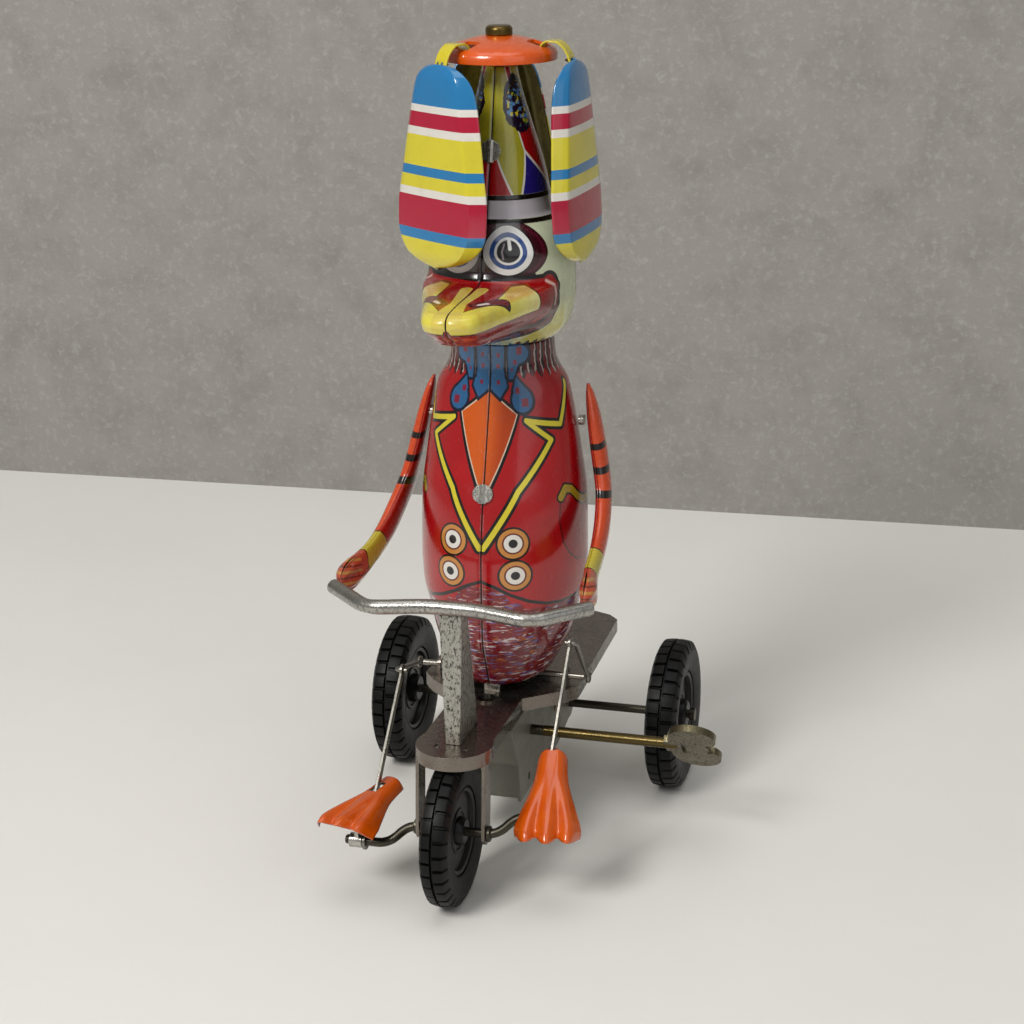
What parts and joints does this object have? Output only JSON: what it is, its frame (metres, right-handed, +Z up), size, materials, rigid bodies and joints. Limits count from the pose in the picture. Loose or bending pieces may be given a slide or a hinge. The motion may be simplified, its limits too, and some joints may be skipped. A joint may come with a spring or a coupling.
{
  "type": "clockwork tin tricycle toy",
  "caption": "Wind-up tin tricycle ridden by a bird figure, with a geared spinning hat with hinged striped paddles, pedalling legs and a side winding key.",
  "frame": {"origin": "on the ground, under the middle of the rear axle", "axes": "+Z up, +X to the rider's left, the rider faces -Y"},
  "size_m": [0.099, 0.116, 0.2],
  "materials": {
    "plate_steel": "satin tinplate",
    "post_steel": "pitted bright plating",
    "bar_steel": "pitted bright plating",
    "motor_steel": "dull tinplate",
    "spring_steel": "blued",
    "clip_steel": "dull",
    "jacket_print": "printed gloss lacquer",
    "head_print": "printed gloss lacquer",
    "arm_outer_print": "printed gloss lacquer",
    "arm_inner_print": "printed gloss lacquer",
    "tyre": "matt, treaded",
    "hub": "satin black",
    "axle_steel": "tarnished",
    "foot_orange": "gloss lacquer",
    "leg_steel": "bright wire",
    "brass": "dull",
    "key_plate": "worn nickel over brass",
    "disc_orange": "gloss lacquer",
    "paddle_print": "striped gloss lacquer",
    "strap_yellow": "gloss lacquer"
  },
  "bodies": {
    "chassis": {"frame_plate": "plate_steel", "steering_column": "post_steel", "handlebar": "bar_steel", "motor_plate_left": "motor_steel", "motor_plate_right": "motor_steel", "motor_cover": "motor_steel", "motor_pillars": "motor_steel", "mainspring": "spring_steel", "hip_pin": "clip_steel", "body_shell_left": "jacket_print", "body_shell_right": "jacket_print", "body_seam_clip": "clip_steel", "body_tabs": "clip_steel", "head_shell_left": "head_print", "head_shell_right": "head_print", "hat_seam_clip": "clip_steel", "arm_left_outer": "arm_outer_print", "arm_left_inner": "arm_inner_print", "arm_right_outer": "arm_outer_print", "arm_right_inner": "arm_inner_print", "shoulder_rivet_left": "clip_steel", "shoulder_rivet_right": "clip_steel", "spindle_bush_lower": "brass", "spindle_bush_upper": "brass"},
    "pedal_crank": {"front_tyre": "tyre", "front_hub": "hub", "crank_axle": "axle_steel"},
    "leg_left": {"foot_left": "foot_orange", "shank_left": "leg_steel", "pedal_clip_left": "clip_steel"},
    "leg_right": {"foot_right": "foot_orange", "shank_right": "leg_steel", "pedal_clip_right": "clip_steel"},
    "thigh_left": {"thigh_left": "leg_steel"},
    "thigh_right": {"thigh_right": "leg_steel"},
    "rear_wheels": {"rear_axle": "axle_steel", "rear_tyre_left": "tyre", "rear_tyre_right": "tyre", "rear_hub_left": "hub", "rear_hub_right": "hub", "axle_gear": "brass"},
    "second_arbor": {"second_arbor": "brass", "contrate_wheel": "brass"},
    "idler": {"idler_gear": "brass"},
    "winding": {"winding_arbor": "axle_steel", "great_wheel": "brass", "key_shaft": "brass", "key_wing": "key_plate"},
    "hat": {"spindle": "axle_steel", "hat_disc": "disc_orange", "hat_knob": "brass"},
    "paddle_front": {"paddle_front": "paddle_print", "strap_front": "strap_yellow"},
    "paddle_side": {"paddle_side": "paddle_print", "strap_side": "strap_yellow"},
    "paddle_rear": {"paddle_rear": "paddle_print", "strap_rear": "strap_yellow"}
  },
  "joints": [
    {"name": "hat_spin", "type": "hinge", "parent": "chassis", "child": "hat", "pos_m": [0, -0.0295, 0.12], "axis": [0, 0, 1], "continuous": true},
    {"name": "crank_spin", "type": "hinge", "parent": "chassis", "child": "pedal_crank", "pos_m": [0, -0.0783, 0.0182], "axis": [1, 0, 0], "continuous": true},
    {"name": "rear_axle_spin", "type": "hinge", "parent": "chassis", "child": "rear_wheels", "pos_m": [0, 0, 0.0195], "axis": [1, 0, 0], "continuous": true},
    {"name": "second_arbor_spin", "type": "hinge", "parent": "chassis", "child": "second_arbor", "pos_m": [0, -0.0295, 0.02392], "axis": [1, 0, 0], "continuous": true},
    {"name": "idler_spin", "type": "hinge", "parent": "chassis", "child": "idler", "pos_m": [0, -0.01576, 0.02439], "axis": [1, 0, 0], "continuous": true},
    {"name": "key_spin", "type": "hinge", "parent": "chassis", "child": "winding", "pos_m": [0, -0.0395, 0.0285], "axis": [1, 0, 0], "continuous": true},
    {"name": "foot_left_turn", "type": "hinge", "parent": "pedal_crank", "child": "leg_left", "pos_m": [0.0206, -0.07469, 0.02181], "axis": [1, 0, 0], "continuous": true},
    {"name": "foot_right_turn", "type": "hinge", "parent": "pedal_crank", "child": "leg_right", "pos_m": [-0.0206, -0.08191, 0.01459], "axis": [1, 0, 0], "continuous": true},
    {"name": "knee_left", "type": "hinge", "parent": "leg_left", "child": "thigh_left", "pos_m": [0.0206, -0.04594, 0.05511], "axis": [1, 0, 0], "range_deg": [-12, 12]},
    {"name": "knee_right", "type": "hinge", "parent": "leg_right", "child": "thigh_right", "pos_m": [-0.0206, -0.05132, 0.04623], "axis": [1, 0, 0], "range_deg": [-12, 12]},
    {"name": "paddle_front_swing", "type": "hinge", "parent": "hat", "child": "paddle_front", "pos_m": [-0.00692, -0.04015, 0.194], "axis": [-0.8387, 0.5446, 0], "range_deg": [0, 70]},
    {"name": "paddle_side_swing", "type": "hinge", "parent": "hat", "child": "paddle_side", "pos_m": [0.01267, -0.03039, 0.194], "axis": [-0.0698, -0.9976, 0], "range_deg": [0, 70]},
    {"name": "paddle_rear_swing", "type": "hinge", "parent": "hat", "child": "paddle_rear", "pos_m": [-0.00434, -0.01757, 0.194], "axis": [0.9397, 0.342, 0], "range_deg": [0, 70]}
  ],
  "couplings": [
    {"joint": "second_arbor_spin", "follows": "hat_spin", "ratio": 0.28571},
    {"joint": "idler_spin", "follows": "hat_spin", "ratio": -0.34286},
    {"joint": "rear_axle_spin", "follows": "hat_spin", "ratio": 0.20906},
    {"joint": "key_spin", "follows": "hat_spin", "ratio": -0.084034},
    {"joint": "foot_left_turn", "follows": "crank_spin", "ratio": -1},
    {"joint": "foot_right_turn", "follows": "crank_spin", "ratio": -1}
  ]
}
